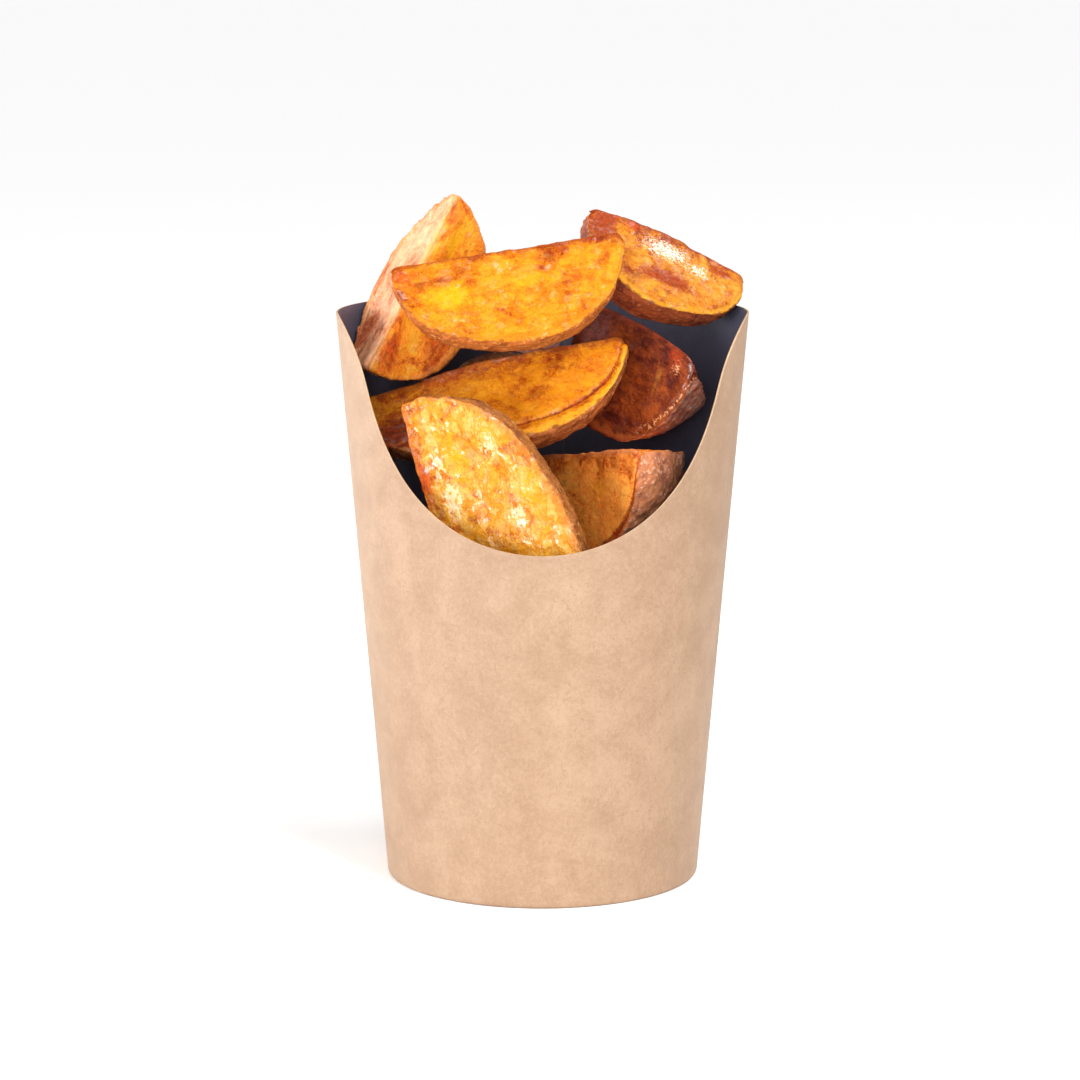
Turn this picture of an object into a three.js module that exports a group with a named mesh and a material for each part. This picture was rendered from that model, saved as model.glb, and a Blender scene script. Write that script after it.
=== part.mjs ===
// A paper scoop cup heaped with roasted potato wedges.
//
// Millimetres, +Z up, the cup's scooped side towards -Y. The origin is on the table at the centre of the
// cup's foot.
//
// The cup is one sheet of board rolled to a cone, glued in an overlapping seam at the back, with its foot
// turned in over the skirt of a recessed base. Its round foot opens to a slightly oval mouth. The rim is
// level round the back and is cut away at the front in a circular scoop, which meets the rim in two rounded
// ears.
//
// Each potato wedge is a slice cut lengthwise from a potato: two flat cut faces that meet in a ridge, and
// the skin between them. The wedges lie loose on each other and in the cup.
import * as THREE from "three";

// ---------------------------------------------------------------- the cup's sizes
const CUP_HEIGHT = 139;
const FOOT_RADIUS = 38.3;
const MOUTH_WIDTH = 100; // across the ears
const MOUTH_DEPTH = 86; // front to back
const BOARD = 0.45; // thickness of the board
const SCOOP_LOW = 86; // height of the lowest point of the scoop
const SCOOP_RADIUS = 55; // on the flat sheet
const EAR_FILLET = 23; // on the flat sheet, where the scoop turns out into the rim
const BASE_RECESS = 8; // from the table up to the underside of the base
const FIT = 0.3; // clearance between glued layers
const SEAM_WIDTH = 9; // overlap of the sheet's two edges at the back
const SEAM_STEP = 0.4; // width over which the board thickens at each side of the overlap
const AROUND = 112; // facets round the cup

const degrees = THREE.MathUtils.degToRad;

// A closed skin over rows of points. Each row runs once round the shape, and a row of one point is a tip.
// Where the first and the last row are not tips, they are joined to each other.
function skinOver(rows) {
  const columns = Math.max(...rows.map((row) => row.length));
  const starts = rows.map((_, i) => rows.slice(0, i).reduce((count, row) => count + row.length, 0));
  const corner = (i, j) => starts[i % rows.length] + (j % columns) % rows[i % rows.length].length;
  const index = [];
  const add = (a, b, c) => {
    if (a !== b && b !== c && c !== a) index.push(a, b, c);
  };
  const lastRow = rows[0].length > 1 ? rows.length : rows.length - 1;
  for (let i = 0; i < lastRow; i++) {
    for (let j = 0; j < columns; j++) {
      add(corner(i, j), corner(i + 1, j + 1), corner(i + 1, j));
      add(corner(i, j), corner(i, j + 1), corner(i + 1, j + 1));
    }
  }
  const geometry = new THREE.BufferGeometry();
  const positions = rows.flat().flatMap((point) => point.toArray());
  geometry.setAttribute("position", new THREE.Float32BufferAttribute(positions, 3));
  geometry.setIndex(index);
  geometry.computeVertexNormals();
  return geometry;
}

// ---------------------------------------------------------------- the cup's pieces
// The height of the sheet's upper edge at `turn` radians from the middle of the front.
function rimHeight(turn) {
  const along = (Math.abs(turn) * MOUTH_WIDTH) / 2; // distance on the flat sheet
  const scoopCentre = SCOOP_LOW + SCOOP_RADIUS;
  const filletCentre = CUP_HEIGHT - EAR_FILLET;
  const reach = SCOOP_RADIUS + EAR_FILLET;
  const filletAlong = Math.sqrt(reach ** 2 - (scoopCentre - filletCentre) ** 2);
  if (along >= filletAlong) return CUP_HEIGHT;
  if (along > (filletAlong * SCOOP_RADIUS) / reach) {
    return filletCentre + Math.sqrt(EAR_FILLET ** 2 - (filletAlong - along) ** 2);
  }
  return scoopCentre - Math.sqrt(SCOOP_RADIUS ** 2 - along ** 2);
}

// A point of the board at `turn` radians from the front, at height z, `inset` inside the cone's outer face.
function wallPoint(turn, z, inset) {
  const up = z / CUP_HEIGHT;
  const across = THREE.MathUtils.lerp(FOOT_RADIUS, MOUTH_WIDTH / 2, up) - inset;
  const deep = THREE.MathUtils.lerp(FOOT_RADIUS, MOUTH_DEPTH / 2, up) - inset;
  return new THREE.Vector3(across * Math.sin(turn), -deep * Math.cos(turn), z);
}

// The turns at which the cup's section is taken: evenly spaced, with the edges of the seam added.
function wallTurns() {
  const half = SEAM_WIDTH / 2 / FOOT_RADIUS;
  const step = SEAM_STEP / FOOT_RADIUS;
  const edges = [-half - step, -half, half, half + step].map((edge) => Math.PI + edge);
  const even = Array.from({ length: AROUND }, (_, i) => (i / AROUND) * 2 * Math.PI);
  const clear = even.filter((turn) => edges.every((edge) => Math.abs(turn - edge) > step));
  return [...clear, ...edges].sort((a, b) => a - b);
}

// The rolled sheet, twice as thick over the seam, with its foot turned in and up inside the base's skirt.
function cupWall() {
  const hemOutside = BOARD + FIT + BOARD + FIT;
  const hemInside = hemOutside + BOARD;
  const hemTop = BASE_RECESS - FIT;
  const seamHalf = (SEAM_WIDTH + SEAM_STEP) / 2 / FOOT_RADIUS;
  const rows = wallTurns().map((turn) => {
    const top = rimHeight(turn > Math.PI ? turn - 2 * Math.PI : turn);
    const doubled = Math.abs(turn - Math.PI) < seamHalf ? BOARD / 2 : 0;
    return [
      wallPoint(turn, top, -doubled),
      wallPoint(turn, 0, -doubled),
      wallPoint(turn, 0, hemInside),
      wallPoint(turn, hemTop, hemInside),
      wallPoint(turn, hemTop, hemOutside),
      wallPoint(turn, BOARD, hemOutside),
      wallPoint(turn, BOARD, BOARD + doubled),
      wallPoint(turn, top, BOARD + doubled),
    ];
  });
  return skinOver(rows);
}

// The base: a disc with a skirt that hangs between the wall and its turned-in foot.
function cupBase() {
  const outside = BOARD + FIT;
  const inside = outside + BOARD;
  const skirtFoot = BOARD + FIT;
  const top = BASE_RECESS + BOARD;
  const ring = (z, inset) => wallTurns().map((turn) => wallPoint(turn, z, inset));
  return skinOver([
    [new THREE.Vector3(0, 0, BASE_RECESS)],
    ring(BASE_RECESS, inside),
    ring(skirtFoot, inside),
    ring(skirtFoot, outside),
    ring(top, outside),
    [new THREE.Vector3(0, 0, top)],
  ]);
}

// ---------------------------------------------------------------- the wedges
const STATIONS = 15; // sections along a wedge
const RIBS = 7; // facets across its skin
const BLUNTNESS = 0.42; // of an end: 0.5 would give an ellipse, and less is blunter
const SUNK = 0.03; // how far the roasted cut faces sink in their middle, as a share of the radius
const KNOBBLE = 0.02; // unevenness of the outline, as a share of the radius

// One wedge. Its ridge lies on the X axis, its first cut face in the XY plane with the skin edge towards
// +Y, and its body on the +Z side, so that `open` degrees lie between the two cut faces. A negative bow
// arches the ridge outwards. `start` and `end` are the bluntness of the -X and the +X end.
function wedgeGeometry({ length, radius, open, bow = 0, start = BLUNTNESS, end = BLUNTNESS }) {
  const sector = degrees(open);
  const rows = [];
  for (let i = 0; i <= STATIONS; i++) {
    const along = -Math.cos((i / STATIONS) * Math.PI);
    const ridge = new THREE.Vector3((along * length) / 2, bow * (1 - along ** 2), 0);
    if (i === 0 || i === STATIONS) {
      rows.push([ridge]);
      continue;
    }
    const knobble = 1 + KNOBBLE * Math.sin(5 * along + radius);
    const reach = radius * (1 - along ** 2) ** (along < 0 ? start : end) * knobble;
    const sink = SUNK * reach;
    const point = (distance, angle, offset) => {
      const outwards = new THREE.Vector3(0, Math.cos(angle), Math.sin(angle));
      const inwards = new THREE.Vector3(0, -Math.sin(angle), Math.cos(angle));
      return ridge.clone().addScaledVector(outwards, distance).addScaledVector(inwards, offset);
    };
    const skin = Array.from({ length: RIBS + 1 }, (_, k) => point(reach, (k / RIBS) * sector, 0));
    rows.push([ridge, point(reach / 2, 0, sink), ...skin, point(reach / 2, sector, -sink)]);
  }
  return skinOver(rows);
}

// `at` is the middle of the wedge's ridge. `tilt` turns the ridge up from the +X direction and `slant` then
// swings its +X end to the back. `lean` rolls the wedge about its ridge: at 0 the first cut face hangs down
// from the ridge and looks to the front, and a positive lean turns that face upwards. All are in degrees.
function wedge(name, shape, material) {
  const mesh = new THREE.Mesh(wedgeGeometry(shape), material);
  mesh.name = name;
  mesh.rotation.set(-degrees(90 + shape.lean), -degrees(shape.tilt), degrees(shape.slant), "ZYX");
  mesh.position.set(...shape.at);
  return mesh;
}

const HEAP = {
  // seen from the front
  wedge_top_left: {
    at: [-31.5, -0.5, 147],
    tilt: 57, slant: 37, lean: -4,
    length: 49, radius: 24, open: 72, end: 0.6,
  },
  wedge_top_middle: {
    at: [-9, -12.5, 155.5],
    tilt: 8, slant: 8, lean: 32,
    length: 56.5, radius: 25, open: 60,
  },
  wedge_top_right: {
    at: [31, 10.3, 155.2],
    tilt: -25, slant: 14, lean: 37,
    length: 44, radius: 21, open: 74, bow: -1.5, end: 0.38,
  },
  wedge_middle: {
    at: [-13.5, 3, 124.5],
    tilt: 14, slant: 0, lean: 38,
    length: 68, radius: 24, open: 56, bow: -2.5,
  },
  wedge_right: {
    at: [24, 7.65, 133.2],
    tilt: -20, slant: -38, lean: 9,
    length: 37, radius: 30, open: 55, bow: -2,
  },
  wedge_front: {
    at: [-22.2, -28.4, 80.5],
    tilt: 108, slant: -20, lean: -3,
    length: 82, radius: 33.8, open: 51, bow: -1.2,
  },
  wedge_front_right: {
    at: [8.5, -3.5, 105],
    tilt: 9, slant: -55, lean: 3,
    length: 48, radius: 27, open: 88,
  },
  wedge_behind_left: {
    at: [-9, 31.5, 106.5],
    tilt: 8, slant: 0, lean: 165,
    length: 42, radius: 20, open: 70,
  },
  wedge_behind_right: {
    at: [-3.2, 24.5, 140.5],
    tilt: 8, slant: 0, lean: 100,
    length: 22, radius: 19, open: 60,
  },
  // at the back of the heap
  wedge_back: {
    at: [-12, 26, 149],
    tilt: -6, slant: 4, lean: 3,
    length: 43, radius: 18, open: 45,
  },
  // in the cup, under the ones that show
  wedge_inside_left: {
    at: [-18, 12.5, 94.2],
    tilt: 4, slant: 62, lean: 34,
    length: 51, radius: 25, open: 76,
  },
  wedge_inside_right: {
    at: [19, 20, 96],
    tilt: -6, slant: -30, lean: 32,
    length: 44, radius: 22, open: 72,
  },
};

// The bottom layer stands on end in a ring, ridges inwards: the heading of each in degrees from the front,
// and its length. The last is short, because the front wedge reaches down over it.
const RING_RADIUS = 5;
const RING_BACK = 2; // the ring's centre lies this far behind the cup's
const STANDING_OPEN = 52;
const STANDING_RADIUS = 31;
const STANDING = [
  [52, 58],
  [108, 62],
  [162, 66],
  [214, 62],
  [266, 60],
  [320, 34],
];

function standingWedge(heading, length) {
  const turn = degrees(heading);
  return {
    at: [
      RING_RADIUS * Math.sin(turn),
      RING_BACK - RING_RADIUS * Math.cos(turn),
      BASE_RECESS + 1 + length / 2, // its lower tip is just above the base
    ],
    tilt: 90,
    slant: 0,
    lean: 90 - heading + STANDING_OPEN / 2,
    length,
    radius: Math.min(STANDING_RADIUS, length * 0.8),
    open: STANDING_OPEN,
  };
}

// ---------------------------------------------------------------- the whole
const kraft = new THREE.MeshStandardMaterial({ color: 0xe0bb95, roughness: 0.85, metalness: 0 });
const potato = new THREE.MeshStandardMaterial({ color: 0xdd8d22, roughness: 0.4, metalness: 0 });

const scoopCup = new THREE.Group();
const wall = new THREE.Mesh(cupWall(), kraft);
wall.name = "cup_wall";
const base = new THREE.Mesh(cupBase(), kraft);
base.name = "cup_base";
scoopCup.add(wall, base);
for (const [name, shape] of Object.entries(HEAP)) scoopCup.add(wedge(name, shape, potato));
STANDING.forEach(([heading, length], i) => {
  scoopCup.add(wedge(`wedge_low_${i + 1}`, standingWedge(heading, length), potato));
});

export default scoopCup;
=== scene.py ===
"""A paper scoop cup heaped with roasted potato wedges, laid out as a Blender add-on.

Metres, +Z up, the cup's scooped side towards -Y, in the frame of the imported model.
"""

import math

import bpy
import numpy as np
from bpy.props import FloatProperty, FloatVectorProperty, PointerProperty
from mathutils import Euler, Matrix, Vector


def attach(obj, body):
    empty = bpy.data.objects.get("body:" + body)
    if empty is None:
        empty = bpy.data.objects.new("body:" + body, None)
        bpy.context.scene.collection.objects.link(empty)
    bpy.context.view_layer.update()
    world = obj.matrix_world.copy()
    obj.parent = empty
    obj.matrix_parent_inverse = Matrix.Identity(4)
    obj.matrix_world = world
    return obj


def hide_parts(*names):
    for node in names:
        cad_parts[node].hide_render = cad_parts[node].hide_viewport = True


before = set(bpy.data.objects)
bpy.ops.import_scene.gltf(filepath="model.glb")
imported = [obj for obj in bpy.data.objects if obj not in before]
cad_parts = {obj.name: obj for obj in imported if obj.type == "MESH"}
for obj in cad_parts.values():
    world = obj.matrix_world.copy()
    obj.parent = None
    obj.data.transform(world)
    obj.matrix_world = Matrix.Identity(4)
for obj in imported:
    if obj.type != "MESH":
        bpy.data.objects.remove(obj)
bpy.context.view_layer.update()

bl_info = {
    "name": "Potato wedges in a scoop cup",
    "version": (1, 0, 0),
    "blender": (4, 5, 0),
    "location": "3D View > Sidebar > Potato wedges",
    "description": "A kraft paper scoop cup heaped with roasted potato wedges",
    "category": "Object",
}

MM = 0.001


def paint(code):
    """The linear colour of a hex code, as three numbers."""
    shares = [int(code[i : i + 2], 16) / 255 for i in (0, 2, 4)]
    return tuple(s / 12.92 if s <= 0.04045 else ((s + 0.055) / 1.055) ** 2.4 for s in shares)


def paints(codes):
    """The linear colours of several hex codes, which stand in one text."""
    return [paint(code) for code in codes.split()]


# ---------------------------------------------------------------- the wedges' places and cuts
# Millimetres and degrees. `at` is the middle of a wedge's ridge. `tilt` turns the ridge up from +X,
# `slant` swings its +X end to the back, and `lean` rolls the wedge about it: at 0 the first cut face
# hangs down from the ridge and looks to the front. `open` lies between the two cut faces, a negative
# `bow` arches the ridge outwards, and `end` is the bluntness of the +X end where it differs.
def wedge_cut(at, tilt, slant, lean, length, radius, open, **rest):
    """The place and cut of one wedge, with a bow or an end of its own where it has them."""
    return dict(
        at=at, tilt=tilt, slant=slant, lean=lean, length=length, radius=radius, open=open, **rest
    )


FRONT = {
    "wedge_top_left": wedge_cut((-31.5, -0.5, 147), 57, 37, -4, 49, 24, 72, end=0.6),
    "wedge_top_middle": wedge_cut((-9, -12.5, 155.5), 8, 8, 32, 56.5, 25, 60),
    "wedge_top_right": wedge_cut((31, 10.3, 155.2), -25, 14, 37, 44, 21, 74, bow=-1.5, end=0.38),
    "wedge_middle": wedge_cut((-13.5, 3, 124.5), 14, 0, 38, 68, 24, 56, bow=-2.5),
    "wedge_right": wedge_cut((24, 7.65, 133.2), -20, -38, 9, 37, 30, 55, bow=-2),
    "wedge_front": wedge_cut((-22.2, -28.4, 80.5), 108, -20, -3, 82, 33.8, 51, bow=-1.2),
    "wedge_front_right": wedge_cut((8.5, -3.5, 105), 9, -55, 3, 48, 27, 88),
    "wedge_behind_left": wedge_cut((-9, 31.5, 106.5), 8, 0, 165, 42, 20, 70),
    "wedge_behind_right": wedge_cut((-3.2, 24.5, 140.5), 8, 0, 100, 22, 19, 60),
}
BURIED = {
    "wedge_back": wedge_cut((-12, 26, 149), -6, 4, 3, 43, 18, 45),
    "wedge_inside_left": wedge_cut((-18, 12.5, 94.2), 4, 62, 34, 51, 25, 76),
    "wedge_inside_right": wedge_cut((19, 20, 96), -6, -30, 32, 44, 22, 72),
}
# The bottom layer stands on end in a ring: the heading of each from the front, and its length.
STANDING = [(52, 58), (108, 62), (162, 66), (214, 62), (266, 60), (320, 34)]
RING_RADIUS = 5
RING_BACK = 2
STANDING_OPEN = 52
STANDING_RADIUS = 31
BASE_CLEAR = 9  # the height of the lowest tips


def standing_cut(heading, length):
    """The place and cut of one wedge of the bottom layer."""
    turn = math.radians(heading)
    across, back = RING_RADIUS * math.sin(turn), RING_BACK - RING_RADIUS * math.cos(turn)
    at = (across, back, BASE_CLEAR + length / 2)
    lean = 90 - heading + STANDING_OPEN / 2
    return wedge_cut(at, 90, 0, lean, length, min(STANDING_RADIUS, length * 0.8), STANDING_OPEN)


# ---------------------------------------------------------------- how each wedge was roasted
# Colours are hex codes: `face` of the cut faces (pale, gold, amber), `lines` (along the ridge, the rim
# beside the skin, the dark edge of that rim) and `skin` (main, dark, pale). The skin's pale is a painted
# highlight on its raised lumps, and its dark also paints shade in the valleys of its wrinkles. The other
# keys are for some:
#   balance: above 0 the cut faces are paler, and below 0 browner
#   toast: how much browner they are towards the ridge
#   flaky, flake: how much loose crust there is, and its colour, which is in part a painted glare on the
#       raised flakes
#   oil, gloss: the coat of oil on the wet places, and the gloss of the dry ones
#   bump, wrinkle: how rough the surface and the shape are beside the others
#   tip, soft_ridge: millimetres that round the ridge's ends and lower its crest
#   groove_*: a line along the cut faces, `in` from the skin: its depth, width, start, mark and strength
#   second_*: the second cut face, where it differs; far_skin_painted_light: the skin at the +X end,
#       painted lighter to stand in for the light that it catches
#   burn, red, glare: this wedge's own colours of the marks; speckle: how fine their flecks are
# A mark has its place along the ridge and its distance from it, its half length and half width, all in
# millimetres, and its strength. It is burnt, red, pale, or bright gold. A pale mark is a painted glare,
# laid on a place that also gets a coat of oil.
ROASTS = {
    "wedge_top_left": dict(
        face="eca42c e4821a c45a10", lines="eca868 d08438 8c4418", skin="bc6830 8c4424 dc9864",
        toast=-0.03, flaky=0.1, oil=0.4, burn="a84410", red="ac340c", soft_ridge=1.6,
        # its second face is paler and pinker than the first: its own colour and, in part, a painted sheen
        second_face="f4b88c eca478 d4885c",
        marks=dict(
            burn=[(-21, 6, 3, 2, 0.5), (-10, 17, 8, 4, 0.6), (15, 12, 8, 2, 0.4)],
            red=[(-18, 4, 6, 4, 0.95), (21, 1, 3, 2, 0.5)],
            gold=[(14, 7, 6, 2.6, 0.8)],
        ),
        second_marks=dict(
            burn=[(-13, 15, 9, 7, 0.62)],
            red=[(-15, 6, 7, 5, 0.4), (2, 21, 12, 2.6, 0.55)],
        ),
    ),
    "wedge_top_middle": dict(
        face="cc8812 c06c02 a44800", lines="8c3c10 c47c18 7c3410", skin="b8642c 8c441c dc9450",
        gloss=0.09, oil=0.5, balance=0.04, tip=2.5,
        marks=dict(
            burn=[
                (-27, 8, 2.4, 3, 0.6), (22.5, 1, 4, 1.6, 0.7), (21, 7, 2, 3, 0.35), (-12, 3, 8, 2, 0.3),
                (8, 14, 8, 1.6, 0.3),
            ],
            red=[(-25, 3.5, 4, 3, 0.7), (24, 5, 1.6, 4, 0.5), (15, 6.5, 3, 2, 0.5), (17, 9, 7, 6, 0.4)],
            pale=[(-20, 17, 3, 1.2, 0.3)],
            gold=[(-15, 10, 7, 4, 0.8), (4, 9, 8, 3, 0.5)],
        ),
    ),
    "wedge_top_right": dict(
        face="d08c24 c07012 943c06", lines="84341a d8981c 6c2c14", skin="9c4c28 6c3020 b86c48",
        oil=0.3, gloss=0.12, balance=0.03, glare="ffe4d4", speckle=3, burn="8c340c", tip=2.5,
        marks=dict(
            burn=[
                (2, 12, 9.5, 2.6, 0.85), (-18, 4, 6, 7, 0.85), (15, 3, 5, 2, 0.7), (18, 8, 2.4, 5, 0.4),
            ],
            red=[
                (-16, 8, 5, 5, 0.5), (-10, 1.5, 4, 2, 0.6), (-11, 10, 6, 4, 0.4), (6, 14.5, 12, 2.4, 0.4),
            ],
            pale=[(0, 4.5, 8.5, 3.4, 0.68), (9, 6, 5, 2.4, 0.6)],
            gold=[(0, 17, 14, 1.8, 0.45)],
        ),
    ),
    "wedge_middle": dict(
        face="e09014 d47c04 b45402", lines="803a10 f4b028 783812", skin="c4723c 8c4824 e8a870",
        tip=2.5, balance=0.01, groove_in=4.2, groove_deep=1.1, groove_start=-2, groove_strength=0.75,
        marks=dict(
            burn=[
                # the burn at -25 along is partly real browning and partly painted shadow, where the wedge
                # above shades this end
                (22, 15, 6, 1.2, 0.4), (18, 6, 9, 4, 0.38), (-25, 13, 10, 8, 0.75), (4, 2, 12, 2, 0.35),
            ],
            red=[(26, 7, 6, 4.5, 0.5), (32, 3, 1.6, 3, 0.5)],
            gold=[(-4, 6, 9, 4, 0.4)],
        ),
    ),
    "wedge_right": dict(
        face="9c4814 742c0e 54180a", lines="903c20 a85420 843420", skin="8c4428 5c2818 b87050",
        # the skin at its +X end is painted lighter: painted light that the end catches
        tip=4, balance=0.01, wrinkle=0.7, far_skin_painted_light="ffac84 d87c60 ffe4d0", groove_in=3.4, groove_wide=1.8,
        # its groove is marked pale: a painted glare along the ring beside the skin
        groove_deep=0.5, groove_start=4, groove_mark="pale", groove_strength=0.55, burn="74504c",
        glare="f8b47c", speckle=1.8,
        marks=dict(
            burn=[(-13, 6, 7, 8, 0.6)],
            red=[(12, 3, 4, 4, 0.6)],
            pale=[(13, 5, 2.4, 3, 0.5)],
            gold=[(9, 11, 1.4, 6, 0.35)],
        ),
    ),
    "wedge_front": dict(
        face="dc9a2c d08410 b85a08", lines="b45c1c c47830 8c4c18", skin="a0602c 743c18 c88c4c",
        # the colour of its flakes is in part a painted glare on them
        balance=0.02, wrinkle=1.5, flaky=0.26, flake="ecb868", glare="f8c898", oil=1, bump=1.6,
        speckle=1.2,
        marks=dict(
            burn=[(27, 13, 3, 1.4, 0.4), (9.5, 10.5, 2, 1.8, 0.55), (39, 3, 2.4, 4, 0.5)],
            red=[(21, 1.5, 6, 2, 0.8), (5.4, 25, 4, 0.8, 0.6), (5, 4, 6, 3, 0.5)],
            pale=[
                (25.5, 19, 5, 3, 0.6), (31, 18, 4, 5, 0.4), (25, 6, 8, 2.6, 0.55), (17, 24, 6, 2.4, 0.5),
                (15.5, 7, 6, 3, 0.8), (14.5, 13.5, 4, 2, 0.5), (8.5, 22, 4, 2.6, 0.8), (4, 14, 4, 5, 0.4),
            ],
            gold=[(25, 10, 8, 4, 0.7), (14, 26, 8, 4, 0.6)],
        ),
    ),
    "wedge_front_right": dict(
        face="fcac48 f49038 c05c18", lines="c07444 d07838 a44c2c", skin="d08458 a86448 f0b898",
        balance=0.02, oil=0.4, wrinkle=0.7, red="7c1404", groove_in=2, groove_deep=0.3, groove_wide=1.4,
        groove_mark="red", groove_strength=0.95,
        marks=dict(
            burn=[(-10, 6, 7, 7, 0.4)],
            gold=[(8, 9, 6, 4, 0.5)],
        ),
    ),
    "wedge_behind_left": dict(
        face="e0a048 c07c2c 8a4e1c", lines="8a4e20 c08030 7a4420", skin="b0784c 805030 d09868",
    ),
    "wedge_behind_right": dict(
        face="d49260 ac6840 7c4430", lines="845040 b07040 845040", skin="e4ac9c a87068 f4d0c4",
    ),
}
PLAIN_ROAST = dict(
    face="f0aa50 dc8430 b0601c", lines="a05c20 e0a050 8c4c1c", skin="a86434 74401c cc9c5c",
)
MARKS = ("burn", "red", "pale", "gold")


# ---------------------------------------------------------------- sizes and colours to change
def mm_setting(name, description, default):
    """A setting for a length, given in millimetres."""
    return FloatProperty(
        name=name, description=description, default=default * MM, unit="LENGTH", precision=5
    )


def share_setting(name, description, default):
    """A setting for a share of something, from 0 to 1."""
    return FloatProperty(
        name=name, description=description, default=default, subtype="FACTOR", min=0, max=1
    )


def colour_setting(name, description, code):
    """A setting for a colour, given as a hex code."""
    return FloatVectorProperty(
        name=name, description=description, default=paint(code), subtype="COLOR", min=0, max=1
    )


class CupSizes(bpy.types.PropertyGroup):
    """The paper cup's sizes"""

    height: mm_setting("Height", "From the table to the level rim", 139)
    foot_radius: mm_setting("Foot radius", "Radius of the round foot", 38.3)
    mouth_width: mm_setting("Mouth width", "Across the two ears", 100)
    mouth_depth: mm_setting("Mouth depth", "Front to back", 86)
    board: mm_setting("Board", "Thickness of the board", 0.45)
    scoop_low: mm_setting("Scoop low", "Height of the scoop's lowest point", 86)
    scoop_radius: mm_setting("Scoop radius", "Radius of the scoop on the flat sheet", 55)
    ear_fillet: mm_setting("Ear fillet", "Where the scoop turns out into the rim", 23)
    base_recess: mm_setting("Base recess", "From the table up to the base", 8)
    fit: mm_setting("Fit", "Clearance between glued layers", 0.3)
    lap: mm_setting("Lap", "Width of the glued lap at the back", 9)


class CupColours(bpy.types.PropertyGroup):
    """The paper cup's colours"""

    kraft: colour_setting("Kraft", "The uncoated outside", "a6876c")
    kraft_dark: colour_setting("Kraft fibres", "Its darker clouds and fibres", "8f6f53")
    coating: colour_setting("Coating", "The black inside", "464656")
    cut_edge: colour_setting("Cut edge", "The board's cut edge", "c9a886")


class RoastColours(bpy.types.PropertyGroup):
    """The colours that roasting leaves on the wedges, and the colour of the painted glare"""

    burn: colour_setting("Burnt", "Burnt places", "742408")
    red: colour_setting("Red", "Red-brown places", "b83c0c")
    # the colour of the painted glare on the pale, oily places
    glare: colour_setting("Painted glare", "Pale, oily places", "eab890")
    gold: colour_setting("Bright", "Bright golden places", "dca000")


class WedgeMake(bpy.types.PropertyGroup):
    """How finely the wedges are made, and how rough they are"""

    fine: mm_setting("Fine grid", "Size of the mesh on the wedges that show", 0.5)
    coarse: mm_setting("Coarse grid", "Size of the mesh on the buried wedges", 0.9)
    bluntness: share_setting("Bluntness", "Of an end: 0.5 gives an ellipse, and less is blunter", 0.42)
    tip: mm_setting("Tip", "How round the two ends of a ridge are", 1.6)
    knobble: share_setting("Knobble", "Unevenness of the outline, as a share of the radius", 0.02)
    sunk: share_setting("Sunk", "How far the cut faces sink, as a share of the radius", 0.03)
    lumps: mm_setting("Lumps", "Height of the broad lumps", 2.2)
    puckers: mm_setting("Puckers", "Height of the dents and swellings", 1.1)
    crust: mm_setting("Crust", "Height of the crust on the cut faces", 0.5)
    blisters: mm_setting("Blisters", "Height of the blisters beside the skin", 1.0)
    notches: mm_setting("Notches", "Unevenness of the ridge", 0.9)
    wrinkles: mm_setting("Wrinkles", "Height of the skin's wrinkles", 0.6)


class StageSetup(bpy.types.PropertyGroup):
    """The camera, the lights and the floor"""

    lens: FloatProperty(
        name="Lens", description="Focal length in millimetres", default=124.4, unit="CAMERA"
    )
    distance: mm_setting("Distance", "Camera to the cup's axis", 900)
    camera_height: mm_setting("Camera height", "Above the table", 241)
    aim_height: mm_setting("Aim height", "What the camera looks at", 82.7)
    sky: FloatProperty(
        name="Sky", description="Strength of the white surroundings", default=0.45, min=0
    )
    floor_colour: FloatVectorProperty(
        name="Floor", description="The plain floor", default=(0.985,) * 3, subtype="COLOR", min=0, max=1
    )


# ---------------------------------------------------------------- modelling helpers
def only(*objects):
    """Selects these objects and nothing else, with the first one active."""
    bpy.ops.object.select_all(action="DESELECT")
    for each in objects:
        each.select_set(True)
    bpy.context.view_layer.objects.active = objects[0]


def name_new(name):
    """Names the object that was just added and what it holds."""
    new = bpy.context.object
    new.name = name
    new.data.name = name
    return new


def points_of(piece):
    """The piece's vertices as rows of three numbers."""
    flat = np.empty(len(piece.data.vertices) * 3)
    piece.data.vertices.foreach_get("co", flat)
    return flat.reshape(-1, 3)


def move_points(piece, points):
    """Puts the piece's vertices at these points."""
    piece.data.vertices.foreach_set("co", points.astype(np.float32).ravel())
    piece.data.update()


def modify(piece, kind, **settings):
    """Adds a modifier with these settings and applies it."""
    only(piece)
    modifier = piece.modifiers.new(kind.title(), kind)
    for key, value in settings.items():
        setattr(modifier, key, value)
    bpy.ops.object.modifier_apply(modifier=modifier.name)


def pick(piece, part, wanted):
    """Enters edit mode with just these edges or faces selected: the ones for which wanted is true."""
    mesh = piece.data
    for parts in (mesh.vertices, mesh.edges, mesh.polygons):
        parts.foreach_set("select", [False] * len(parts))
    parts = mesh.polygons if part == "FACE" else mesh.edges
    parts.foreach_set("select", [bool(wanted(each)) for each in parts])
    bpy.context.tool_settings.mesh_select_mode = (False, part == "EDGE", part == "FACE")
    only(piece)
    bpy.ops.object.mode_set(mode="EDIT")


def settle(piece):
    """Moves the piece's place, turn and scale into its mesh."""
    only(piece)
    bpy.ops.object.transform_apply(location=True, rotation=True, scale=True)


def smoothstep(value, low, high):
    """0 below low, 1 above high, and smooth between them."""
    share = np.clip((value - low) / (high - low), 0, 1)
    return share * share * (3 - 2 * share)


def keep(piece, nodes):
    """Hands a finished piece to the frame, in the place of these CAD nodes."""
    if len(piece.data.polygons) == 0:
        raise RuntimeError(f"{piece.name} came out empty")
    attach(piece, "root")
    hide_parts(*nodes)


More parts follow.
